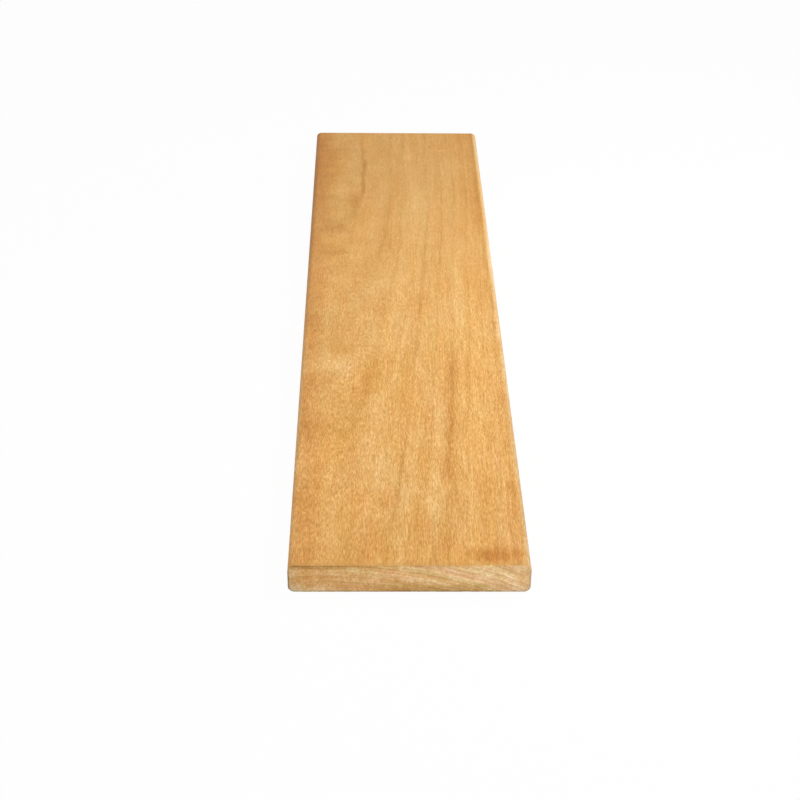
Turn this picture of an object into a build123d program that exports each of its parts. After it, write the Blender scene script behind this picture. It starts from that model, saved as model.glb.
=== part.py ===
from build123d import *
import os

# A hardwood board of nominal 1 x 6 section, planed on all four sides, with its four long
# edges eased and both ends sawn square. It is one solid piece of timber.
# It lies flat with its length along Y. The origin is the middle of its underside.
# Sizes are in millimetres.

INCH = 25.4

# Driving dimensions
board_length = 24 * INCH
board_width = 5.5 * INCH
board_thickness = 0.75 * INCH
eased_edge_radius = 4.0  # the rounding along each of the four long edges
sawn_arris_break = 0.3  # the sharp corner of each sawn end, lightly sanded off

with BuildPart() as board:
    # The planed section, as it shows on a sawn end: flat faces with a quarter round at each corner.
    with BuildSketch(Plane.XZ) as planed_section:
        Rectangle(board_width, board_thickness, align=(Align.CENTER, Align.MIN))
        fillet(planed_section.vertices(), radius=eased_edge_radius)
    extrude(amount=board_length / 2, both=True)

    # Both ends are sawn square, and their arrises are sanded just enough not to splinter.
    sawn_ends = board.faces().filter_by(Axis.Y)
    chamfer(sawn_ends.edges(), length=sawn_arris_break)

board.part.label = "board"

os.makedirs("parts", exist_ok=True)
export_step(board.part, "parts/board.step")
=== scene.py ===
"""A planed hardwood board lying flat on a studio floor.

The board is one piece. Geometry Nodes shape it: a section with four eased edges, two sawn ends
with a lightly broken arris, and the faint relief of rings and saw on those ends.
Its wood is a solid pattern: the growth rings lie round a pith below the board, and the face,
the edges and the sawn ends all cut through the same rings.
Places and sizes in the wood are in millimetres, in the board's own frame: X across, Y along
with the near end at its lowest, and Z up from the underside. Everything else is in metres.
"""

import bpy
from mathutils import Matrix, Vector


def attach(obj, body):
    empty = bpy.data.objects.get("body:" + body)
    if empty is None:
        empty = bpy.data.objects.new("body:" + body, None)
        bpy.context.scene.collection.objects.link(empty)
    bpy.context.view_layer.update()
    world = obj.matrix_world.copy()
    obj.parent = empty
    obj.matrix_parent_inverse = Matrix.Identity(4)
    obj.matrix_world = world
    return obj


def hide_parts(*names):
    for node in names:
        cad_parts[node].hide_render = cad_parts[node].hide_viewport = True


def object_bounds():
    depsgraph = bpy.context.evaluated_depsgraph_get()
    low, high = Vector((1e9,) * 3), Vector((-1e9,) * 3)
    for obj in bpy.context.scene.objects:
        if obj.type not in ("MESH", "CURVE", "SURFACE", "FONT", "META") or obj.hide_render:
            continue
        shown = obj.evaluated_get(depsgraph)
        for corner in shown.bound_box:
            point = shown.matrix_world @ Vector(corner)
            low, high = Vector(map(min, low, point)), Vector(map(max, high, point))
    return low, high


bl_info = {
    "name": "Hardwood Board",
    "version": (1, 0, 0),
    "blender": (4, 5, 0),
    "location": "View3D > Sidebar > Board",
    "description": "Makes a planed hardwood board with eased edges and sawn ends, and its stage",
    "category": "Object",
}

import math
from typing import NamedTuple

import bpy
from bpy.props import FloatProperty, FloatVectorProperty, IntProperty, PointerProperty
from mathutils import Matrix, Vector

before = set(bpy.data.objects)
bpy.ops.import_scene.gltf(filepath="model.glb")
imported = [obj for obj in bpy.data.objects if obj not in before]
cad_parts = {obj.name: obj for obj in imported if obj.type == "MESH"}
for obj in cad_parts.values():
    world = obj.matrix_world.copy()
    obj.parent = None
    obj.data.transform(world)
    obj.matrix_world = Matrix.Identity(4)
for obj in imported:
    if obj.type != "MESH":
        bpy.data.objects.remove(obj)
CAD_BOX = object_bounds()
CAD_SIZE = CAD_BOX[1] - CAD_BOX[0]

BOARD_NODE = "board"
BOARD_BODY = "root"

MM = 0.001  # a millimetre in metres

# The board and its wood, in millimetres
TOP = CAD_SIZE.z / MM
HALF_LENGTH = CAD_SIZE.y / 2 / MM
HALF_WIDTH = CAD_SIZE.x / 2 / MM
EASED_RADIUS = 4.0
PLANER_PITCH = 1.9  # from one cut of the planer's knives to the next
LEAN_END = 170.0  # beyond this place along the board, the rings run level with its face
LEAN_BEND = 60.0  # how gently the rings turn level there
FIRST_RING_RADIUS = 156.0  # where the innermost ring of the list below begins
# The widths of the growth rings that the board cuts through, from the heart side outwards
RING_WIDTHS = (4.6, 5.2, 4.4, 5.6, 5.4, 4.4, 2.9, 6.3, 4.6, 4.6, 5.0, 4.5, 4.5, 3.9, 4.2, 4.4)
MEAN_RING_WIDTH = sum(RING_WIDTHS) / len(RING_WIDTHS)
NEAR_END = (-340, -270)  # from before the near end to a little way in, for what shows on the end
MEAN_PORES = 0.12  # what the pattern of pores comes to on average
WOOD_SPECULAR = 0.35

# What shapes the sawn ends, in metres. The saw's blade turned round a place off the board.
BLADE_ACROSS = -0.19
BLADE_UP = 0.09
SAW_PITCH = 0.0024
ROUGH_PER_METRE = 420.0
# The shares that the rings, the saw and the rough fibres have in the relief
RING_SHARE = 0.16
SAW_SHARE = 0.12
ROUGH_SHARE = 0.7
# How often the arris's wear changes from the board's middle to a side: across, along and up
WEAR_CHANGES = (9.0, 3.0, 2.0)


class RingLine(NamedTuple):
    """A line that follows one growth ring for part of the board's length.

    Dark and gold are depths of stain. Under 0 they make the wood paler or greyer.
    """

    name: str
    ring: float
    start: float
    end: float
    width: float
    dark: float
    gold: float


class Patch(NamedTuple):
    """A soft-edged patch on the upper face, with depths of dark and golden stain like a line's."""

    name: str
    across: float
    along: float
    half_width: float
    half_length: float
    dark: float
    gold: float


GUM_LINES = (
    RingLine("Long Gum Line", 203.9, -225, -48, 3.1, 0.40, 1.0),
    RingLine("Gum Line to the Near End", 204.8, -312, -190, 2.0, 0.26, 0.5),
    RingLine("Far Left Line", 181.2, 165, 300, 0.38, 0.44, 0.8),
    RingLine("Middle Line", 194.8, -290, -160, 0.9, 0.26, 0.5),
    RingLine("Weak Line to the Left", 188.5, -190, -70, 1.4, 0.09, 0.6),
    RingLine("Weak Line from the Far End", 185.6, 20, 290, 1.2, 0.08, 0.5),
    RingLine("Weak Line in the Middle", 194.8, -90, 170, 1.1, 0.14, 0.3),
)
NEAR_END_STREAKS = (
    RingLine("Golden Streak on the Left", 179.5, *NEAR_END, 2.6, 0.10, 0.2),
    RingLine("Pale Streak on the Left", 187.0, *NEAR_END, 2.2, -0.20, -0.1),
    RingLine("Dark Streak at the Bottom", 191.8, *NEAR_END, 0.9, 0.50, 0.6),
    RingLine("Pale Streak in the Middle", 196.5, *NEAR_END, 2.2, -0.32, 0.1),
    RingLine("Pale Streak on the Right", 201.5, *NEAR_END, 1.6, -0.18, -0.1),
    RingLine("Yellow Streak at the Top", 212.6, *NEAR_END, 1.6, -0.16, 0.4),
    RingLine("Brown Streak on the Right", 215.3, *NEAR_END, 1.5, 0.30, 0.2),
)
PATCHES = (
    Patch("Burn at the Near End", 51, -295, 23, 10, 0.26, 2.6),
    Patch("Dark Left Side of the Burn", 43, -296, 9, 9, 0.30, 0.8),
    Patch("Dark Right Side of the Burn", 62, -294, 5, 8, 0.15, 0.6),
    Patch("Golden Right Margin", 68, 165, 14, 90, 0.02, 1.5),
    Patch("Brow near the Far End", 38, 267, 10, 5, -0.16, -0.3),
    Patch("Second Brow", 10, 252, 9, 12, -0.07, -0.2),
    Patch("Dark Tip of the Rings", -50, 119, 17, 10, 0.32, 0.5),
    Patch("Pale Band over the Tip", -50, 142, 15, 13, -0.20, 0.0),
    Patch("Pale Band under the Tip", -50, 99, 15, 10, -0.22, 0.2),
    Patch("Lower Tip", -48, 78, 16, 7, 0.20, 0.4),
    Patch("Golden Spot at the Far Left Line", -36, 168, 6, 18, 0.10, 1.8),
    Patch("Dark Spots on the Left", -43, -66, 11, 15, 0.20, 1.3),
    Patch("Pale Tongue on the Left", -52, -87, 18, 9, -0.09, -0.6),
    Patch("Golden Left Margin", -64, -35, 11, 48, 0.04, 1.0),
    Patch("Golden Left", -57, -105, 11, 16, 0.10, 1.0),
    Patch("Golden Near Left", -53, -190, 19, 38, -0.24, 0.2),
    Patch("Golden Far Left Corner", -60, 240, 28, 90, 0.06, 1.6),
    Patch("Golden Middle of the Near End", 2, -275, 40, 38, 0.04, 0.9),
    Patch("Golden Far Right Corner", 62, 300, 22, 50, 0.0, 0.8),
    Patch("Brown near the Burn", 34, -255, 34, 60, 0.12, 0.1),
    Patch("Greyish Middle", 9, -66, 9, 50, 0.06, -1.0),
    Patch("Greyish Left", -19, -140, 14, 28, -0.03, -1.3),
    Patch("Greyish Near Left", -12, -216, 12, 30, 0.02, -0.9),
)


class Term:
    """A number that nodes work out. Each sum, difference, product or quotient is a Math node."""

    def __init__(self, nodes, socket):
        self.nodes = nodes
        self.socket = socket

    def __add__(self, other):
        return self.nodes.maths("ADD", self, other)

    def __radd__(self, other):
        return self.nodes.maths("ADD", other, self)

    def __sub__(self, other):
        return self.nodes.maths("SUBTRACT", self, other)

    def __rsub__(self, other):
        return self.nodes.maths("SUBTRACT", other, self)

    def __mul__(self, other):
        return self.nodes.maths("MULTIPLY", self, other)

    def __truediv__(self, other):
        return self.nodes.maths("DIVIDE", self, other)


class Nodes:
    """Adds nodes to one tree. An input takes a number, a tuple, or another node's output."""

    COLUMN_HEIGHT = 7
    SPACING = (190, 170)

    def __init__(self, tree):
        self.tree = tree
        self.count = 0

    def add(self, kind, inputs=(), **settings):
        """A new node, with its settings made first, because they choose its sockets."""
        node = self.tree.nodes.new(kind)
        column, row = divmod(self.count, self.COLUMN_HEIGHT)
        node.location = (column * self.SPACING[0], -row * self.SPACING[1])
        self.count += 1
        for name, value in settings.items():
            setattr(node, name, value)
        for name, value in dict(inputs).items():
            self.feed(node.inputs[name], value)
        return node

    def feed(self, socket, value):
        """Gives an input a number or a tuple, or links it to another node's output."""
        if isinstance(value, Term):
            value = value.socket
        if isinstance(value, bpy.types.NodeSocket):
            self.tree.links.new(value, socket)
        else:
            socket.default_value = value

    def maths(self, operation, *values):
        """What one Math node makes of these values."""
        node = self.add("ShaderNodeMath", operation=operation)
        for socket, value in zip(node.inputs, values):
            self.feed(socket, value)
        return Term(self, node.outputs[0])

    def split(self, vector):
        """The three numbers of a vector."""
        node = self.add("ShaderNodeSeparateXYZ", {"Vector": vector})
        return [Term(self, socket) for socket in node.outputs]

    def joined(self, x, y, z):
        """The vector of three numbers."""
        return self.add("ShaderNodeCombineXYZ", {"X": x, "Y": y, "Z": z}).outputs[0]

    def stretched(self, place, width, length):
        """A place counted in widths across the grain and in lengths along it."""
        x, y, z = self.split(place)
        return self.joined(x / width, y / length, z / width)

    def moved(self, place, shift):
        """A place moved by a fixed shift, so that a pattern there is another one."""
        node = self.add("ShaderNodeVectorMath", {0: place, 1: shift}, operation="ADD")
        return node.outputs[0]

    def span(self, *sides):
        """How far it is straight across, when it is this far along each axis."""
        squares = [side * side for side in sides]
        return self.maths("SQRT", sum(squares[1:], squares[0]))

    def step(self, value, low, high):
        """Rises smoothly from 0 where the value is low to 1 where it is high."""
        node = self.add(
            "ShaderNodeMapRange",
            {"Value": value, "From Min": low, "From Max": high},
            interpolation_type="SMOOTHSTEP",
        )
        return Term(self, node.outputs[0])

    def noise(self, vector, detail=2.0, roughness=0.5):
        """Smooth random values round 0.5."""
        node = self.add(
            "ShaderNodeTexNoise",
            {"Vector": vector, "Scale": 1.0, "Detail": detail, "Roughness": roughness},
        )
        return Term(self, node.outputs["Fac"])

    def group_inputs(self):
        """The outputs of a Group Input node, by name."""
        node = self.add("NodeGroupInput")
        return {socket.name: Term(self, socket) for socket in node.outputs if socket.name}

    def group_outputs(self, values):
        """Sends these values out of the group, and gives back its finished tree."""
        self.add("NodeGroupOutput", values)
        return self.tree


FLOAT = "NodeSocketFloat"
VECTOR = "NodeSocketVector"
COLOUR = "NodeSocketColor"
MATERIAL = "NodeSocketMaterial"
GEOMETRY = "NodeSocketGeometry"
TYPES_OF_DEFAULTS = {float: FLOAT, int: "NodeSocketInt", tuple: COLOUR}


def new_group(name, kind, inputs, outputs):
    """A node group with sockets of these names. Gives its nodes and what the inputs bring.

    Each input comes with its default or with its socket's type, and each output with its type.
    """
    tree = bpy.data.node_groups.new(name, kind)
    for socket_name, default in inputs.items():
        socket_type = TYPES_OF_DEFAULTS.get(type(default), default)
        socket = tree.interface.new_socket(socket_name, in_out="INPUT", socket_type=socket_type)
        if default != socket_type:
            socket.default_value = default
    for socket_name, socket_type in outputs.items():
        tree.interface.new_socket(socket_name, in_out="OUTPUT", socket_type=socket_type)
    nodes = Nodes(tree)
    return nodes, nodes.group_inputs()


def inputs_from(source, names):
    """What a tuple or a group of settings holds under these names, as inputs of a node group."""
    return {name.replace("_", " ").title(): getattr(source, name) for name in names}


def own_names(settings):
    """The names of the settings that a property group has itself."""
    return [name for name in settings.bl_rna.properties.keys() if name not in ("rna_type", "name")]


# Sizes and colours that a user would change


class BoardSizes(bpy.types.PropertyGroup):
    """The board's own sizes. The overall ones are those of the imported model."""

    length: FloatProperty(
        name="Length", description="From one sawn end to the other",
        default=CAD_SIZE.y, min=0.05, unit="LENGTH",
    )
    width: FloatProperty(
        name="Width", description="Across the planed faces",
        default=CAD_SIZE.x, min=0.02, unit="LENGTH",
    )
    thickness: FloatProperty(
        name="Thickness", description="From the underside to the upper face",
        default=CAD_SIZE.z, min=0.01, unit="LENGTH",
    )
    eased_edge_radius: FloatProperty(
        name="Eased Edge Radius", description="The rounding along the four long edges",
        default=EASED_RADIUS * MM, min=0.5 * MM, unit="LENGTH",
    )
    arris_break: FloatProperty(
        name="Arris Break", description="How far the sharp edge of a sawn end is sanded off",
        default=0.3 * MM, min=0.05 * MM, unit="LENGTH",
    )
    end_relief: FloatProperty(
        name="End Relief", description="How deep the saw and the soft rings lie in a sawn end",
        default=0.12 * MM, min=0.0, unit="LENGTH",
    )
    seed: IntProperty(
        name="Seed", description="Picks another pattern for the saw's marks", default=4,
    )


class WoodLook(bpy.types.PropertyGroup):
    """The colours of the wood and the place of its rings."""

    honey: FloatVectorProperty(
        name="Honey", description="The planed wood's middle tone",
        subtype="COLOR", min=0, max=1, default=(0.748, 0.40, 0.1125),
    )
    end_honey: FloatVectorProperty(
        name="Sawn Honey", description="A sawn end's middle tone",
        subtype="COLOR", min=0, max=1, default=(0.72, 0.43, 0.165),
    )
    dark_stain: FloatVectorProperty(
        name="Dark Stain", description="What one depth of dark fibre multiplies the colour by",
        subtype="COLOR", min=0, max=1, default=(0.70, 0.63, 0.48),
    )
    gold_stain: FloatVectorProperty(
        name="Gold Stain", description="What one depth of golden wood multiplies the colour by",
        subtype="COLOR", min=0, max=1, default=(0.96, 0.90, 0.78),
    )
    amber_stain: FloatVectorProperty(
        name="Amber Stain", description="What the oldest margins multiply the colour by",
        subtype="COLOR", min=0, max=1, default=(0.87, 0.74, 0.62),
    )
    rose_stain: FloatVectorProperty(
        name="Rose Stain", description="What one depth of rosy wood multiplies the colour by",
        subtype="COLOR", min=0, max=1, default=(1.0, 0.975, 0.985),
    )
    pith_across: FloatProperty(
        name="Pith Across", description="The tree's centre, across from the board's middle",
        default=-50.0 * MM, unit="LENGTH",
    )
    pith_below: FloatProperty(
        name="Pith Below", description="The tree's centre, below the underside",
        default=165.0 * MM, unit="LENGTH",
    )
    pith_lean: FloatProperty(
        name="Pith Lean", description="How fast the pith rises towards the far end",
        default=0.024,
    )
    ring_flatness: FloatProperty(
        name="Ring Flatness", description="How many times wider the rings are than they are high",
        default=1.4, min=0.5,
    )


class StageLook(bpy.types.PropertyGroup):
    """The floor and the light round the board."""

    floor: FloatVectorProperty(
        name="Floor", description="The floor's own colour",
        subtype="COLOR", min=0, max=1, default=(0.86, 0.86, 0.86),
    )
    floor_glow: FloatProperty(
        name="Floor Glow", description="How much of plain white the camera sees in the floor",
        default=0.97, min=0, max=1, subtype="FACTOR",
    )
    surround: FloatProperty(
        name="Surround", description="The even light that comes from all round",
        default=0.33, min=0,
    )
    key_power: FloatProperty(
        name="Key Light", description="The soft light above, on the right",
        default=3.6, min=0, subtype="POWER", unit="POWER",
    )
    fill_power: FloatProperty(
        name="Fill Light", description="The soft light in front of the near end",
        default=6.4, min=0, subtype="POWER", unit="POWER",
    )


# The board's shape


# The cube's grid lines across, along and up the board
COLUMNS = 241
ROWS = 62
LAYERS = 35
EDGE_STEPS = 6  # grid cells in half of an eased edge's quarter round
BREAK_STEPS = 1  # grid cells along a broken arris
SHARP_ANGLE = math.radians(30)
MAP_NAME = "OFBake"


class Chart(NamedTuple):
    """The part of the texture map that one side of the board fills."""

    low: tuple
    high: tuple


CHARTS = {
    "top": Chart((0.004, 0.004), (0.996, 0.414)),
    "bottom": Chart((0.004, 0.424), (0.996, 0.746)),
    "right": Chart((0.004, 0.756), (0.996, 0.822)),
    "left": Chart((0.004, 0.832), (0.996, 0.898)),
    "near": Chart((0.004, 0.908), (0.496, 0.996)),
    "far": Chart((0.504, 0.908), (0.996, 0.996)),
}


def flat_share(steps, cells):
    """How much of the cube's side lies flat, when it leaves this many of its cells at both ends."""
    return 1 - 2 * steps / cells


def zone(nodes, place, steps, cells):
    """Splits a grid coordinate in two, each from 0 to 1: along the flat, and through the rest.

    The rest is the last few cells before the cube's edge, which an eased edge or an arris takes.
    """
    flat = flat_share(steps, cells)
    size = nodes.maths("ABSOLUTE", place)
    along_flat = nodes.maths("MINIMUM", size / flat, 1.0)
    through_rest = nodes.maths("MAXIMUM", size - flat, 0.0) / (1 - flat)
    return along_flat, through_rest


def chart_place(nodes, chart, u, v):
    """Where a grid place, from -1 to 1 both ways, lies on one chart of the texture map."""
    middle = [(low + high) / 2 for low, high in zip(chart.low, chart.high)]
    half = [(high - low) / 2 for low, high in zip(chart.low, chart.high)]
    return nodes.joined(u * half[0] + middle[0], v * half[1] + middle[1], 0.0)


def chosen(nodes, choice, yes, no):
    """The first vector where the choice is true, and the second one elsewhere."""
    inputs = {"Switch": choice, "False": no, "True": yes}
    return nodes.add("GeometryNodeSwitch", inputs, input_type="VECTOR").outputs[0]


def cube_grid(nodes):
    """A cube whose six sides are grids from -1 to 1, each face's direction and point's place."""
    cube = nodes.add(
        "GeometryNodeMeshCube",
        {"Size": (2.0, 2.0, 2.0), "Vertices X": COLUMNS, "Vertices Y": ROWS, "Vertices Z": LAYERS},
    )
    geometry = cube.outputs["Mesh"]
    captured = []
    for name, source, domain in (
        ("Side", "GeometryNodeInputNormal", "FACE"),
        ("Grid", "GeometryNodeInputPosition", "POINT"),
    ):
        capture = nodes.add("GeometryNodeCaptureAttribute", {"Geometry": geometry}, domain=domain)
        capture.capture_items.new("VECTOR", name)
        nodes.feed(capture.inputs[name], nodes.add(source).outputs[0])
        geometry = capture.outputs["Geometry"]
        captured.append(nodes.split(capture.outputs[name]))
    return geometry, *captured


def end_relief(nodes, given, place_x, place_z, sign_y):
    """How deep a sawn end is worn back, by its soft early wood, the saw's arcs and rough fibres."""
    from_pith_x = place_x - given["Pith Across"]
    below_face = (place_z - given["Thickness"]) * given["Ring Flatness"]
    from_pith_z = below_face + given["Thickness"] + given["Pith Below"]
    ring_turns = nodes.span(from_pith_x, from_pith_z) * (2 * math.pi) / given["Ring Width"]
    blade_radius = nodes.span(place_x - BLADE_ACROSS, place_z - BLADE_UP)
    saw_turns = blade_radius * (2 * math.pi / SAW_PITCH)
    each_end = sign_y * 7.0 + given["Seed"]  # far apart, so that the two ends differ
    rough_place = nodes.joined(place_x * ROUGH_PER_METRE, each_end, place_z * ROUGH_PER_METRE)
    relief = (
        nodes.maths("SINE", ring_turns) * RING_SHARE
        + nodes.maths("SINE", saw_turns) * SAW_SHARE
        + nodes.noise(rough_place, detail=3.0, roughness=0.6) * ROUGH_SHARE
    )
    return given["End Relief"] * nodes.maths("MAXIMUM", relief, 0.0)


def board_place(nodes, given, x, y, z):
    """Where a place of the cube's grid lies on the board."""
    # Along the board: the flat length, and then the arris, which is broken more in some places
    flat_y, break_y = zone(nodes, y, BREAK_STEPS, ROWS - 1)
    across, along, up = WEAR_CHANGES
    wear_place = nodes.joined(x * across, y * along + given["Seed"], z * up)
    wear = nodes.noise(wear_place, detail=3.0, roughness=0.6)
    arris = given["Arris Break"] * nodes.step(wear, 0.15, 0.75)
    inset = arris * break_y
    length_place = flat_y * (given["Length"] / 2 - arris) + inset

    # Across the board: flat faces, and a quarter round at each long edge
    flat_x, edge_x = zone(nodes, x, EDGE_STEPS, COLUMNS - 1)
    flat_z, edge_z = zone(nodes, z, EDGE_STEPS, LAYERS - 1)
    lean_x = nodes.maths("TANGENT", edge_x * (math.pi / 4))
    lean_z = nodes.maths("TANGENT", edge_z * (math.pi / 4))
    reach = nodes.maths("MAXIMUM", lean_x, lean_z)
    slant = nodes.span(lean_x, lean_z) + 1e-6  # never quite 0, to divide by it
    radius = given["Eased Edge Radius"]
    round_part = (radius - inset) * reach / slant
    width_place = flat_x * (given["Width"] / 2 - radius) + lean_x * round_part
    thickness_place = flat_z * (given["Thickness"] / 2 - radius) + lean_z * round_part
    place_x = nodes.maths("SIGN", x) * width_place
    place_z = nodes.maths("SIGN", z) * thickness_place + given["Thickness"] / 2

    # The relief, which the ends and their arrises take together, and no other row of points
    sign_y = nodes.maths("SIGN", y)
    on_end = nodes.maths("GREATER_THAN", flat_y, 1 - 1 / ROWS)
    depth = end_relief(nodes, given, place_x, place_z, sign_y)
    return nodes.joined(place_x, sign_y * (length_place - depth * on_end), place_z)


def faces_along(nodes, direction):
    """1 on the two sides of the cube that face along an axis, by that part of the direction."""
    return nodes.maths("GREATER_THAN", nodes.maths("ABSOLUTE", direction), 0.5)


def texture_place(nodes, side, x, y, z):
    """Where a place of the cube's grid lies on the texture map."""
    side_x, side_y, side_z = side
    pairs = []
    for direction, high, low, u, v in (
        (side_y, "far", "near", x, z),
        (side_x, "right", "left", y, z),
        (side_z, "top", "bottom", y, x),
    ):
        on_high_side = nodes.maths("GREATER_THAN", direction, 0.5)
        places = [chart_place(nodes, CHARTS[name], u, v) for name in (high, low)]
        pairs.append(chosen(nodes, on_high_side, *places))
    ends, edges, faces = pairs
    long_sides = chosen(nodes, faces_along(nodes, side_x), edges, faces)
    return chosen(nodes, faces_along(nodes, side_y), ends, long_sides)


def board_tree():
    """The geometry node group that shapes the board from a fine grid in the form of a cube."""
    nodes, given = new_group(
        "Planed Board",
        "GeometryNodeTree",
        inputs={
            "Length": 0.6,
            "Width": 0.14,
            "Thickness": 0.02,
            "Eased Edge Radius": 0.004,
            "Arris Break": 0.0003,
            "End Relief": 0.0001,
            "Pith Across": -0.05,
            "Pith Below": 0.165,
            "Ring Width": 0.0047,
            "Ring Flatness": 1.4,
            "Seed": 0,
            "Planed Face": MATERIAL,
            "Sawn End": MATERIAL,
        },
        outputs={"Board": GEOMETRY},
    )
    grid, side, (x, y, z) = cube_grid(nodes)
    shaped = nodes.add(
        "GeometryNodeSetPosition",
        {"Geometry": grid, "Position": board_place(nodes, given, x, y, z)},
    )
    mapped = nodes.add(
        "GeometryNodeStoreNamedAttribute",
        {
            "Geometry": shaped.outputs[0],
            "Name": MAP_NAME,
            "Value": texture_place(nodes, side, x, y, z),
        },
        data_type="FLOAT2", domain="CORNER",
    )

    # Smooth all over but for the arrises
    smooth = nodes.add(
        "GeometryNodeSetShadeSmooth",
        {"Geometry": mapped.outputs[0], "Shade Smooth": True}, domain="FACE",
    )
    angle = nodes.add("GeometryNodeInputMeshEdgeAngle")
    sharp = nodes.maths("GREATER_THAN", angle.outputs["Unsigned Angle"], SHARP_ANGLE)
    crisp = nodes.add(
        "GeometryNodeSetShadeSmooth",
        {"Geometry": smooth.outputs[0], "Selection": sharp, "Shade Smooth": False}, domain="EDGE",
    )

    # The sawn wood takes the ends and the broken arris
    flat = flat_share(BREAK_STEPS, ROWS - 1)
    on_arris = nodes.maths("GREATER_THAN", nodes.maths("ABSOLUTE", y), flat)
    sawn_faces = nodes.maths("MAXIMUM", faces_along(nodes, side[1]), on_arris)
    real = nodes.add("GeometryNodeRealizeInstances", {"Geometry": crisp.outputs[0]})
    planed = nodes.add(
        "GeometryNodeSetMaterial", {"Geometry": real.outputs[0], "Material": given["Planed Face"]}
    )
    sawn = nodes.add(
        "GeometryNodeSetMaterial",
        {"Geometry": planed.outputs[0], "Selection": sawn_faces, "Material": given["Sawn End"]},
    )
    return nodes.group_outputs({"Board": sawn.outputs[0]})


def plain_mesh(name, tree, values):
    """A piece whose plain mesh is what the geometry node group makes with these inputs."""
    maker = bpy.data.objects.new(name + "_maker", bpy.data.meshes.new(name + "_maker"))
    bpy.context.scene.collection.objects.link(maker)
    modifier = maker.modifiers.new(tree.name, "NODES")
    modifier.node_group = tree
    for item in tree.interface.items_tree:
        if item.in_out == "INPUT":
            modifier[item.identifier] = values[item.name]
    shaped = maker.evaluated_get(bpy.context.evaluated_depsgraph_get())
    mesh = bpy.data.meshes.new_from_object(shaped)
    bpy.data.objects.remove(maker)
    if not mesh.polygons:
        raise RuntimeError(name + " came out of its geometry nodes with no faces")
    mesh.name = name
    piece = bpy.data.objects.new(name, mesh)
    bpy.context.scene.collection.objects.link(piece)
    return piece


# The wood's patterns, as shader node groups in millimetres


def rings_group():
    """Growth rings round a pith that leans a little: how far out a place is, and its season."""
    nodes, given = new_group(
        "Growth Rings",
        "ShaderNodeTree",
        inputs={
            "Place": VECTOR,
            "Pith Across": -50.0,
            "Pith Below": 165.0,
            "Pith Lean": 0.024,
            "Flatness": 1.4,
            "Wander": 1.2,
            "Ripple": 0.9,
            "Raggedness": 0.9,
            "Line Width": 0.55,
        },
        outputs={"Radius": FLOAT, "Line": FLOAT, "Season": FLOAT, "Year": FLOAT},
    )
    place = given["Place"]
    x, y, z = nodes.split(place)
    from_pith_x = x - given["Pith Across"]
    leaning_y = nodes.maths("SMOOTH_MIN", y, LEAN_END, LEAN_BEND)
    below_face = (z - TOP) * given["Flatness"]
    from_pith_z = below_face + TOP + given["Pith Below"] - leaning_y * given["Pith Lean"]
    wander_place = nodes.moved(nodes.stretched(place, 55, 150), (0, 3.1, 0))
    ripple_place = nodes.moved(nodes.stretched(place, 12, 22), (0, 0, 5.7))
    wander = nodes.noise(wander_place, detail=1.0) - 0.5
    ripple = nodes.noise(ripple_place, detail=3.0, roughness=0.6) - 0.5
    ragged = nodes.noise(nodes.stretched(place, 1.4, 9)) - 0.5
    radius = (
        nodes.span(from_pith_x, from_pith_z)
        + wander * given["Wander"]
        + ripple * given["Ripple"]
    )

    # How many rings lie inside this radius, from the list of their widths
    count = len(RING_WIDTHS)
    breadth = sum(RING_WIDTHS)
    from_first = radius + ragged * given["Raggedness"] - FIRST_RING_RADIUS
    ramp = nodes.add("ShaderNodeValToRGB", {"Fac": from_first / breadth})
    edge = 0.0
    for index, width in enumerate(RING_WIDTHS[:-1]):
        edge += width
        level = (index + 1) / count
        stop = ramp.color_ramp.elements.new(edge / breadth)
        stop.color = (level, level, level, 1)
    age = Term(nodes, ramp.outputs["Color"]) * count
    season = nodes.maths("FRACT", age)
    year = nodes.add("ShaderNodeTexWhiteNoise", noise_dimensions="1D")
    nodes.feed(year.inputs["W"], nodes.maths("FLOOR", age) + 0.5)
    from_edge = nodes.maths("MINIMUM", season, 1 - season) * MEAN_RING_WIDTH
    line = 1 - nodes.step(from_edge, 0.0, given["Line Width"])
    return nodes.group_outputs(
        {"Radius": radius, "Line": line, "Season": season, "Year": year.outputs["Value"]}
    )


def drifting_grain_group():
    """Places moved sideways by a little, so that fibres there wander instead of lying straight."""
    nodes, given = new_group(
        "Drifting Grain",
        "ShaderNodeTree",
        inputs={"Place": VECTOR, "Drift": 3.0, "Breadth": 22.0, "Length": 34.0},
        outputs={"Place": VECTOR},
    )
    x, y, z = nodes.split(given["Place"])
    place = nodes.stretched(given["Place"], given["Breadth"], given["Length"])
    drift = (nodes.noise(place, detail=1.0) - 0.5) * given["Drift"] * 2
    return nodes.group_outputs({"Place": nodes.joined(x + drift, y, z + drift)})


def fibre_group():
    """Fibres that lie along the grain, from about -1 to 1."""
    nodes, given = new_group(
        "Fibre",
        "ShaderNodeTree",
        inputs={"Place": VECTOR, "Width": 1.0, "Length": 8.0, "Detail": 2.0},
        outputs={"Fibre": FLOAT},
    )
    place = nodes.stretched(given["Place"], given["Width"], given["Length"])
    value = nodes.noise(place, detail=given["Detail"], roughness=0.6)
    return nodes.group_outputs({"Fibre": (value - 0.5) * 4})


def ring_streaks_group():
    """Thin layers of paler and darker wood within the rings, from about -1 to 1."""
    nodes, given = new_group(
        "Ring Streaks",
        "ShaderNodeTree",
        inputs={"Place": VECTOR, "Radius": 0.0, "Thickness": 1.0, "Breadth": 30.0, "Length": 90.0},
        outputs={"Streaks": FLOAT},
    )
    x, y, _ = nodes.split(given["Place"])
    layer = given["Radius"] / given["Thickness"]
    place = nodes.joined(x / given["Breadth"], y / given["Length"], layer)
    value = nodes.noise(place, detail=3.0, roughness=0.55)
    return nodes.group_outputs({"Streaks": (value - 0.5) * 4})


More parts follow.
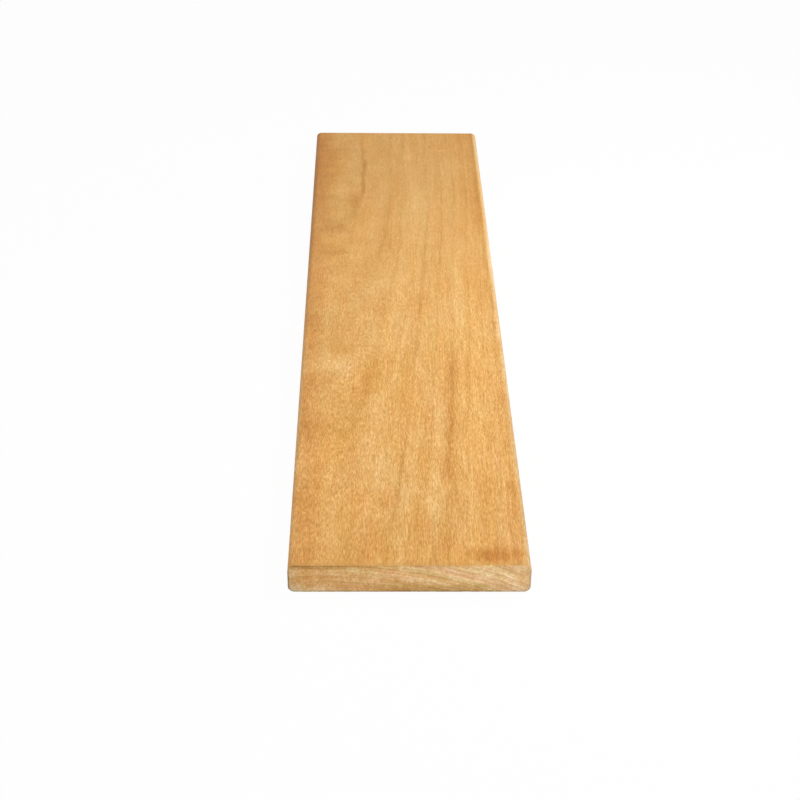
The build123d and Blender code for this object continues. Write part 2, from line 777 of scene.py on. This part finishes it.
def pores_group():
    """Cut vessels: short dark dashes along the grain, and small dots on a sawn end."""
    nodes, given = new_group(
        "Pores",
        "ShaderNodeTree",
        inputs={"Place": VECTOR, "Spacing": 1.2, "Length": 6.0, "Size": 0.25},
        outputs={"Pores": FLOAT},
    )
    place = nodes.stretched(given["Place"], given["Spacing"], given["Length"])
    cells = nodes.add("ShaderNodeTexVoronoi", {"Vector": place, "Scale": 1.0})
    size = given["Size"]
    inside = 1 - nodes.step(cells.outputs["Distance"], size * 0.4, size)
    depth = nodes.split(cells.outputs["Color"])[0]
    return nodes.group_outputs({"Pores": inside * depth})


def ring_line_group():
    """A line along one growth ring, between two places along the board."""
    nodes, given = new_group(
        "Ring Line",
        "ShaderNodeTree",
        inputs={
            "Place": VECTOR,
            "Radius": 0.0,
            "Ring": 200.0,
            "Start": -100.0,
            "End": 100.0,
            "Width": 1.0,
            "Fade": 30.0,
            "Fraying": 0.0,
        },
        outputs={"Line": FLOAT},
    )
    y = nodes.split(given["Place"])[1]
    away = nodes.maths("ABSOLUTE", given["Radius"] - given["Ring"]) / given["Width"]
    inside = 1 - nodes.step(away + given["Fraying"], 0.0, 1.0)
    begun = nodes.step(y, given["Start"], given["Start"] + given["Fade"])
    ended = nodes.step(y, given["End"] - given["Fade"], given["End"])
    return nodes.group_outputs({"Line": inside * begun * (1 - ended)})


def patch_group():
    """A soft patch on the upper face, frayed along the grain."""
    nodes, given = new_group(
        "Patch",
        "ShaderNodeTree",
        inputs={
            "Place": VECTOR,
            "Across": 0.0,
            "Along": 0.0,
            "Half Width": 10.0,
            "Half Length": 10.0,
            "Depth": 7.0,
            "Fraying": 0.0,
        },
        outputs={"Patch": FLOAT},
    )
    x, y, z = nodes.split(given["Place"])
    away_x = (x - given["Across"]) / given["Half Width"]
    away_y = (y - given["Along"]) / given["Half Length"]
    away_z = (z - TOP) / given["Depth"]
    away = nodes.span(away_x, away_y, away_z) + given["Fraying"]
    return nodes.group_outputs({"Patch": 1 - nodes.step(away, 0.15, 1.0)})


def stain_group():
    """A colour seen through some depth of a stain. A depth under 0 bleaches it instead."""
    nodes, given = new_group(
        "Stain",
        "ShaderNodeTree",
        inputs={"Colour": (1, 1, 1, 1), "Stain": (0.7, 0.6, 0.5, 1), "Depth": 0.0},
        outputs={"Colour": COLOUR},
    )
    let_through = nodes.add("ShaderNodeGamma", {"Color": given["Stain"], "Gamma": given["Depth"]})
    seen = nodes.add(
        "ShaderNodeVectorMath",
        {0: given["Colour"], 1: let_through.outputs[0]}, operation="MULTIPLY",
    )
    return nodes.group_outputs({"Colour": seen.outputs[0]})


class Wood:
    """The solid wood's patterns placed in one material, at one surface."""

    def __init__(self, material, groups, look):
        self.nodes = Nodes(material.node_tree)
        self.groups = groups
        nodes = self.nodes
        coordinates = nodes.add("ShaderNodeTexCoord")
        in_millimetres = nodes.add(
            "ShaderNodeMapping",
            {"Vector": coordinates.outputs["Object"], "Scale": (1 / MM, 1 / MM, 1 / MM)},
        )
        self.place = in_millimetres.outputs[0]
        self.rings = self.group(
            "Growth Rings",
            {
                "Pith Across": look.pith_across / MM,
                "Pith Below": look.pith_below / MM,
                "Pith Lean": look.pith_lean,
                "Flatness": look.ring_flatness,
            },
        )

    def group(self, name, values, label=""):
        """One of the groups with these inputs, and with this place and its rings' radius."""
        node = self.nodes.add("ShaderNodeGroup", node_tree=self.groups[name])
        node.label = label
        if "Place" in node.inputs:
            values = {"Place": self.place, **values}
        if "Radius" in node.inputs:
            values = {"Radius": self.ring("Radius"), **values}
        for socket, value in values.items():
            self.nodes.feed(node.inputs[socket], value)
        return node

    def value(self, name, values, label=""):
        """The first output of a group with these inputs."""
        return Term(self.nodes, self.group(name, values, label).outputs[0])

    def ring(self, output):
        """One of the outputs of the growth rings."""
        return Term(self.nodes, self.rings.outputs[output])

    def fibre(self, label, width, length, detail, place=None):
        """Fibres this wide and this long, where the wood lies or at another place."""
        values = {"Width": width, "Length": length, "Detail": detail}
        if place is not None:
            values["Place"] = place
        return self.value("Fibre", values, label)

    def streaks(self, label, thickness, breadth=30.0, length=90.0):
        """Streaks within the rings, this thick from ring to ring, this broad and this long."""
        values = {"Thickness": thickness, "Breadth": breadth, "Length": length}
        return self.value("Ring Streaks", values, label)

    def marks(self, kind, marks, fraying):
        """The depths of dark and of golden stain that marks of one kind add here."""
        dark, gold = 0.0, 0.0
        for mark in marks:
            # A mark's fields between its name and its depths are the inputs of its group
            values = inputs_from(mark, mark._fields[1:-2])
            inside = self.value(kind, {**values, "Fraying": fraying}, mark.name)
            dark = inside * mark.dark + dark
            gold = inside * mark.gold + gold
        return dark, gold

    def ring_lines(self, lines):
        """What lines along the rings add."""
        return self.marks("Ring Line", lines, self.fibre("Frayed Lines", 1.5, 16.0, 2.0) * 0.3)

    def patches(self, patches):
        """What patches add."""
        return self.marks("Patch", patches, self.fibre("Frayed Patches", 3.0, 8.0, 3.0) * 0.28)

    def finish(self, tone, stains, roughness, height):
        """Makes the surface: a tone under its stains, a roughness and a height in millimetres."""
        nodes = self.nodes
        colour = (*tone, 1)
        for stain, depth in stains:
            values = {"Colour": colour, "Stain": (*stain, 1), "Depth": depth}
            colour = self.group("Stain", values).outputs[0]
        bump = nodes.add("ShaderNodeBump", {"Height": height, "Distance": MM, "Strength": 1.0})
        shader = nodes.add(
            "ShaderNodeBsdfPrincipled",
            {
                "Base Color": colour,
                "Roughness": roughness,
                "Specular IOR Level": WOOD_SPECULAR,
                "Normal": bump.outputs[0],
            },
        )
        nodes.add("ShaderNodeOutputMaterial", {"Surface": shader.outputs[0]})


def new_material(name):
    """A material with no nodes yet."""
    material = bpy.data.materials.new(name)
    material.use_nodes = True
    material.node_tree.nodes.clear()
    return material


def planed_face(groups, look):
    """Honey-coloured planed hardwood, with rings, fibres, pores and a few gum lines."""
    material = new_material("planed_face")
    wood = Wood(material, groups, look)
    nodes = wood.nodes
    x, y, _ = nodes.split(wood.place)

    # The patterns: fibres by width, length and detail, streaks by thickness, breadth and length
    flat_sawn = 1 - nodes.step(x, -45.0, 0.0)
    grain = wood.group("Drifting Grain", {"Drift": flat_sawn * 3.0 + 1.5}).outputs[0]
    fine = wood.fibre("Fine Fibre", 0.65, 4.2, 1.0, grain)
    strands = wood.fibre("Long Strands", 0.8, 24.0, 1.0, grain)
    coarse = wood.fibre("Coarse Fibre", 2.6, 18.0, 2.0, grain)
    flecks = wood.fibre("Rosy Flecks", 1.1, 6.0, 1.0, grain)
    figure = wood.fibre("Cross Figure", 20.0, 13.0, 3.0)
    clouds = wood.fibre("Golden Clouds", 16.0, 55.0, 3.0)
    rose = wood.fibre("Rosy Clouds", 8.0, 50.0, 2.0)
    thin = wood.streaks("Thin Streaks", 1.1)
    broad = wood.streaks("Broad Streaks", 2.8, 60.0, 160.0)
    bands = wood.streaks("Golden Bands", 3.6, 70.0, 220.0)
    pores = wood.value("Pores", {"Place": grain, "Spacing": 0.8, "Length": 4.0, "Size": 0.4})
    line_power = nodes.step(nodes.noise(nodes.stretched(wood.place, 30, 60), detail=1.0), 0.35, 0.7)
    lines_dark, lines_gold = wood.ring_lines(GUM_LINES)
    patches_dark, patches_gold = wood.patches(PATCHES)

    # The regions, each from 0 to 1, and how crisp the fibres are in them
    far = nodes.step(y, -150.0, 200.0)
    far_end = nodes.step(y, HALF_LENGTH - 110.0, HALF_LENGTH)
    at_near_arris = 1 - nodes.step(y, -HALF_LENGTH, 5.0 - HALF_LENGTH)
    crispness = (1 - far * 0.54) * (1 - at_near_arris * 0.5)
    # Painted light on the left eased edge: paler at the near end, darker towards the far end
    left_edge_painted_light = 1 - nodes.step(x, 1.5 - HALF_WIDTH, 4.5 - HALF_WIDTH)
    # A painted highlight on the right eased edge: pale with little gold, darker at the near end and
    # paler far off
    right_edge_painted_light = nodes.step(x, HALF_WIDTH - 4.5, HALF_WIDTH - 1.5)
    # Painted shade along the right margin, beside the painted highlight on its eased edge
    right_shoulder_painted_shade = nodes.step(x, HALF_WIDTH - 9.0, HALF_WIDTH - 5.0)
    left_margin = 1 - nodes.step(x, -HALF_WIDTH, -46.0)
    right_margin = nodes.step(x, 44.0, 64.0)
    near_end = 1 - nodes.step(y, -HALF_LENGTH, 35.0 - HALF_LENGTH)

    # The depths of each stain, with the painted light and shade of the eased edges among them
    dark = (
        (fine * 0.51 + (pores - MEAN_PORES) * 0.62) * (flat_sawn * 0.15 + 0.85) * crispness
        + strands * (0.36 - flat_sawn * 0.20) * crispness
        + coarse * 0.07
        + thin * 0.11
        + broad * 0.09
        + wood.ring("Line") * line_power * 0.28
        + (wood.ring("Season") - 0.5) * 0.12
        - (wood.ring("Year") - 0.5) * 0.10
        - figure * (flat_sawn * 0.16 + 0.04)
        + lines_dark
        + patches_dark
        - far_end * 0.16
        + at_near_arris * 0.3
        # painted light near and painted shade far on the left eased edge
        - left_edge_painted_light * (0.35 - far * 0.60)
        # painted shade on the right shoulder
        + right_shoulder_painted_shade * 0.2
        # painted shade near and painted highlight far on the right eased edge
        + right_edge_painted_light * (0.60 - far * 0.90)
    )
    gold = (
        (clouds * 1.3 + bands * 1.1) * (1 - far * 0.3)
        + fine * crispness
        + coarse * 0.25
        + lines_gold
        + patches_gold
        + near_end * 0.9
        - at_near_arris * 0.7
        + far_end * 0.95
        # the left eased edge's painted light: less gold towards the near end
        - left_edge_painted_light * (1 - far)
        # the right eased edge's painted highlight takes most of the gold out
        - right_edge_painted_light * 4.0
    )
    amber = left_margin * (0.75 + far * 0.35) + right_margin * 0.22
    rosy = rose * 1.5 + flecks * crispness * 1.8
    stains = (
        (look.dark_stain, dark),
        (look.gold_stain, gold),
        (look.amber_stain, amber),
        (look.rose_stain, rosy),
    )

    planer = nodes.maths("SINE", y * (2 * math.pi / PLANER_PITCH))
    roughness = 0.56 - fine * 0.03 + pores * 0.2
    height = planer * 0.0006 - fine * 0.0008 - coarse * 0.003 - pores * 0.006
    wood.finish(look.honey, stains, roughness, height)
    return material


def sawn_end(groups, look):
    """End grain straight from the saw: paler, rough, with ring bands, pores and a rim of painted
    shade.
    """
    material = new_material("sawn_end")
    wood = Wood(material, groups, look)
    nodes = wood.nodes
    x, _, z = nodes.split(wood.place)

    # The patterns: fibres by width, length and detail, streaks by thickness and breadth
    fuzz = wood.fibre("Fuzz", 0.9, 4.0, 2.0)
    speckle = wood.fibre("Speckle", 2.1, 6.0, 1.0)
    flecks = wood.fibre("Rosy Flecks", 1.8, 8.0, 2.0)
    clouds = wood.fibre("Clouds", 7.0, 60.0, 2.0)
    thin = wood.streaks("Short Streaks", 1.4, 4.5)
    broad = wood.streaks("Long Streaks", 3.0, 14.0)
    golden = wood.streaks("Golden Streaks", 4.0, 24.0)
    rose = wood.streaks("Rosy Streaks", 4.2, 24.0)
    pores = wood.value("Pores", {"Spacing": 0.75, "Length": 6.0, "Size": 0.4})
    lines_dark, lines_gold = wood.ring_lines(NEAR_END_STREAKS)

    # The regions, each from 0 to 1
    from_left = nodes.step(x, -HALF_WIDTH, HALF_WIDTH)
    low = 1 - nodes.step(z, 1.0, 9.0)
    low_middle = low * (1 - nodes.step(nodes.maths("ABSOLUTE", x - 17.0), 14.0, 46.0))
    low_right = low * nodes.step(x, 45.0, 62.0)
    low_left = low * (1 - nodes.step(x, -60.0, -15.0))
    top_left = nodes.step(z, TOP - 4.0, TOP - 0.5) * (1 - nodes.step(x, -50.0, -20.0))
    top_line = nodes.step(z, TOP - 1.2, TOP - 0.2) * (1 - nodes.step(x, 15.0, 40.0))
    leftmost = 1 - nodes.step(x, -HALF_WIDTH, 10.0 - HALF_WIDTH)
    rightmost = nodes.step(x, HALF_WIDTH - 9.0, HALF_WIDTH)

    # Painted shade: a dark rim, which goes round the end's corners and stops below its top
    past_x = nodes.maths("ABSOLUTE", x) - (HALF_WIDTH - EASED_RADIUS)
    past_z = nodes.maths("ABSOLUTE", z - TOP / 2) - (TOP / 2 - EASED_RADIUS)
    corner = nodes.span(nodes.maths("MAXIMUM", past_x, 0.0), nodes.maths("MAXIMUM", past_z, 0.0))
    below_top = 1 - nodes.step(z, TOP - 5.0, TOP - 2.0)
    rim_painted_shade = (1 - nodes.step(EASED_RADIUS - corner, 0.4, 1.3)) * below_top

    # The depths of each stain, with the rim's painted shade among them
    dark = (
        0.10
        + fuzz * (0.53 - from_left * 0.08)
        + speckle * (0.25 - from_left * 0.03)
        + thin * 0.16
        + broad * (0.14 + from_left * 0.20)
        + clouds * 0.20
        + (pores - MEAN_PORES) * 0.5
        + wood.ring("Line") * 0.20
        + (wood.ring("Season") - 0.5) * (0.16 + from_left * 0.22)
        - (wood.ring("Year") - 0.5) * 0.28
        - from_left * 0.45
        + low_middle * 0.80
        + low_left * 0.12
        + top_left * 0.95
        + top_line * 0.4
        + leftmost * 0.52
        + rightmost * 0.25
        # painted shade along the rim, stronger on the left and weaker on the right
        + rim_painted_shade * (2.0 + leftmost * 0.6 - rightmost * 0.6)
        + low_right * 0.22
        + lines_dark
    )
    gold = (
        0.6
        - from_left * 1.6
        + clouds * 0.9
        + broad * 0.2
        + golden * 0.9
        + low_middle * 0.25
        - low_left * 2.0
        - leftmost * 2.3
        - low_right * 0.9
        # the rim's painted shade also takes the gold out
        - rim_painted_shade * 4.4
        + lines_gold
    )
    stains = (
        (look.dark_stain, dark),
        (look.gold_stain, gold),
        (look.rose_stain, rose * 4.5 + flecks * (6.0 - from_left * 2.5)),
    )
    roughness = 0.74 - fuzz * 0.04
    height = fuzz * -0.006 - pores * 0.014
    wood.finish(look.end_honey, stains, roughness, height)
    return material


# The operators


class BOARD_OT_make_board(bpy.types.Operator):
    """Make the board as one piece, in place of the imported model's plain solid"""

    bl_idname = "board.make_board"
    bl_label = "Make Board"

    def execute(self, context):
        sizes = context.scene.board_sizes
        look = context.scene.board_wood
        groups = {
            tree.name: tree
            for tree in (
                rings_group(), drifting_grain_group(), fibre_group(), ring_streaks_group(),
                pores_group(), ring_line_group(), patch_group(), stain_group(),
            )
        }
        values = {
            **inputs_from(sizes, own_names(sizes)),
            **inputs_from(look, ("pith_across", "pith_below", "ring_flatness")),
            "Ring Width": MEAN_RING_WIDTH * MM,
            "Planed Face": planed_face(groups, look),
            "Sawn End": sawn_end(groups, look),
        }
        piece = plain_mesh("hardwood_board", board_tree(), values)
        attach(piece, BOARD_BODY)
        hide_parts(BOARD_NODE)
        return {"FINISHED"}


# The camera, as fitted to the photograph: its lens in millimetres and its place in metres
LENS = 73.87
SENSOR = 36.0
CAMERA_PLACE = Vector((-0.02304, -1.03982, 0.60475))
CAMERA_PITCH = math.radians(32.771)
CAMERA_YAW = math.radians(1.261)
CAMERA_ROLL = math.radians(0.793)

FLOOR_SIZE = 14.0
FLOOR_GAP = 0.0002  # between the floor and the board, so that their faces never coincide


def seen_as_it_is(nodes):
    """1 for the rays that show a surface itself, and 0 for those that only carry its light."""
    rays = nodes.add("ShaderNodeLightPath").outputs
    direct = nodes.maths("MAXIMUM", rays["Is Camera Ray"], rays["Is Glossy Ray"])
    return nodes.maths("MAXIMUM", direct, rays["Is Transmission Ray"])


def floor_material(look):
    """A pale floor that looks white to the camera and keeps a little of the shadows."""
    material = new_material("studio_floor")
    nodes = Nodes(material.node_tree)
    matt = nodes.add("ShaderNodeBsdfDiffuse", {"Color": (*look.floor, 1)})
    glow = nodes.add("ShaderNodeEmission", {"Color": (1, 1, 1, 1), "Strength": 1.0})
    mix = nodes.add("ShaderNodeMixShader", {"Fac": seen_as_it_is(nodes) * look.floor_glow})
    nodes.feed(mix.inputs[1], matt.outputs[0])
    nodes.feed(mix.inputs[2], glow.outputs[0])
    nodes.add("ShaderNodeOutputMaterial", {"Surface": mix.outputs[0]})
    return material


def make_world(look):
    """Even light from all round, and plain white behind the board."""
    world = bpy.data.worlds.new("studio")
    world.use_nodes = True
    world.node_tree.nodes.clear()
    nodes = Nodes(world.node_tree)
    strength = seen_as_it_is(nodes) * (1 - look.surround) + look.surround
    light = nodes.add("ShaderNodeBackground", {"Color": (1, 1, 1, 1), "Strength": strength})
    nodes.add("ShaderNodeOutputWorld", {"Surface": light.outputs[0]})
    bpy.context.scene.world = world


def softbox(name, power, place, target, size):
    """A square area light that faces its target."""
    light = bpy.data.lights.new(name, "AREA")
    light.shape = "SQUARE"
    light.size = size
    light.energy = power
    box = bpy.data.objects.new(name, light)
    box.location = place
    box.rotation_euler = (Vector(target) - Vector(place)).to_track_quat("-Z", "Y").to_euler()
    bpy.context.scene.collection.objects.link(box)


def make_camera():
    """The camera, from its place and its pitch down, its yaw to the right and its roll."""
    data = bpy.data.cameras.new("camera")
    data.lens = LENS
    data.sensor_width = SENSOR
    camera = bpy.data.objects.new("camera", data)
    forward = Vector((
        math.sin(CAMERA_YAW) * math.cos(CAMERA_PITCH),
        math.cos(CAMERA_YAW) * math.cos(CAMERA_PITCH),
        -math.sin(CAMERA_PITCH),
    ))
    level_right = Vector((math.cos(CAMERA_YAW), -math.sin(CAMERA_YAW), 0.0))
    level_up = level_right.cross(forward)
    right = level_right * math.cos(CAMERA_ROLL) + level_up * math.sin(CAMERA_ROLL)
    up = level_up * math.cos(CAMERA_ROLL) - level_right * math.sin(CAMERA_ROLL)
    turn = Matrix((right, up, -forward)).transposed()
    camera.matrix_world = Matrix.Translation(CAMERA_PLACE) @ turn.to_4x4()
    bpy.context.scene.collection.objects.link(camera)
    bpy.context.scene.camera = camera


class BOARD_OT_make_stage(bpy.types.Operator):
    """Make the floor, the lights, the white surround and the camera"""

    bl_idname = "board.make_stage"
    bl_label = "Make Stage"

    def execute(self, context):
        look = context.scene.board_stage
        half = FLOOR_SIZE / 2
        mesh = bpy.data.meshes.new("floor")
        square = ((-half, -half), (half, -half), (half, half), (-half, half))
        corners = [(x, y, -FLOOR_GAP) for x, y in square]
        mesh.from_pydata(corners, [], [(0, 1, 2, 3)])
        mesh.materials.append(floor_material(look))
        floor = bpy.data.objects.new("floor", mesh)
        context.scene.collection.objects.link(floor)
        make_world(look)
        softbox("key", look.key_power, place=(0.42, -0.05, 0.52), target=(0, -0.05, 0), size=0.4)
        softbox("fill", look.fill_power, place=(-0.45, -1.30, 0.60), target=(0, -0.2, 0), size=0.8)
        make_camera()
        context.scene.view_settings.view_transform = "Standard"
        return {"FINISHED"}


class VIEW3D_PT_board(bpy.types.Panel):
    """The board's operators and settings"""

    bl_idname = "VIEW3D_PT_board"
    bl_label = "Hardwood Board"
    bl_space_type = "VIEW_3D"
    bl_region_type = "UI"
    bl_category = "Board"

    def draw(self, context):
        for operator in OPERATORS:
            self.layout.operator(operator.bl_idname)
        for name in SETTINGS:
            column = self.layout.column(align=True)
            settings = getattr(context.scene, name)
            for key in own_names(settings):
                column.prop(settings, key)


OPERATORS = (BOARD_OT_make_board, BOARD_OT_make_stage)
SETTINGS = {"board_sizes": BoardSizes, "board_wood": WoodLook, "board_stage": StageLook}
CLASSES = (*SETTINGS.values(), *OPERATORS, VIEW3D_PT_board)


def register():
    """Makes the classes and the scene's settings known to Blender."""
    for cls in CLASSES:
        bpy.utils.register_class(cls)
    for name, cls in SETTINGS.items():
        setattr(bpy.types.Scene, name, PointerProperty(type=cls))


def unregister():
    """Takes the settings and the classes away again."""
    for name in SETTINGS:
        delattr(bpy.types.Scene, name)
    for cls in reversed(CLASSES):
        bpy.utils.unregister_class(cls)


def main():
    """Builds the board and its stage."""
    register()
    bpy.ops.board.make_board()
    bpy.ops.board.make_stage()


if __name__ == "__main__":
    main()
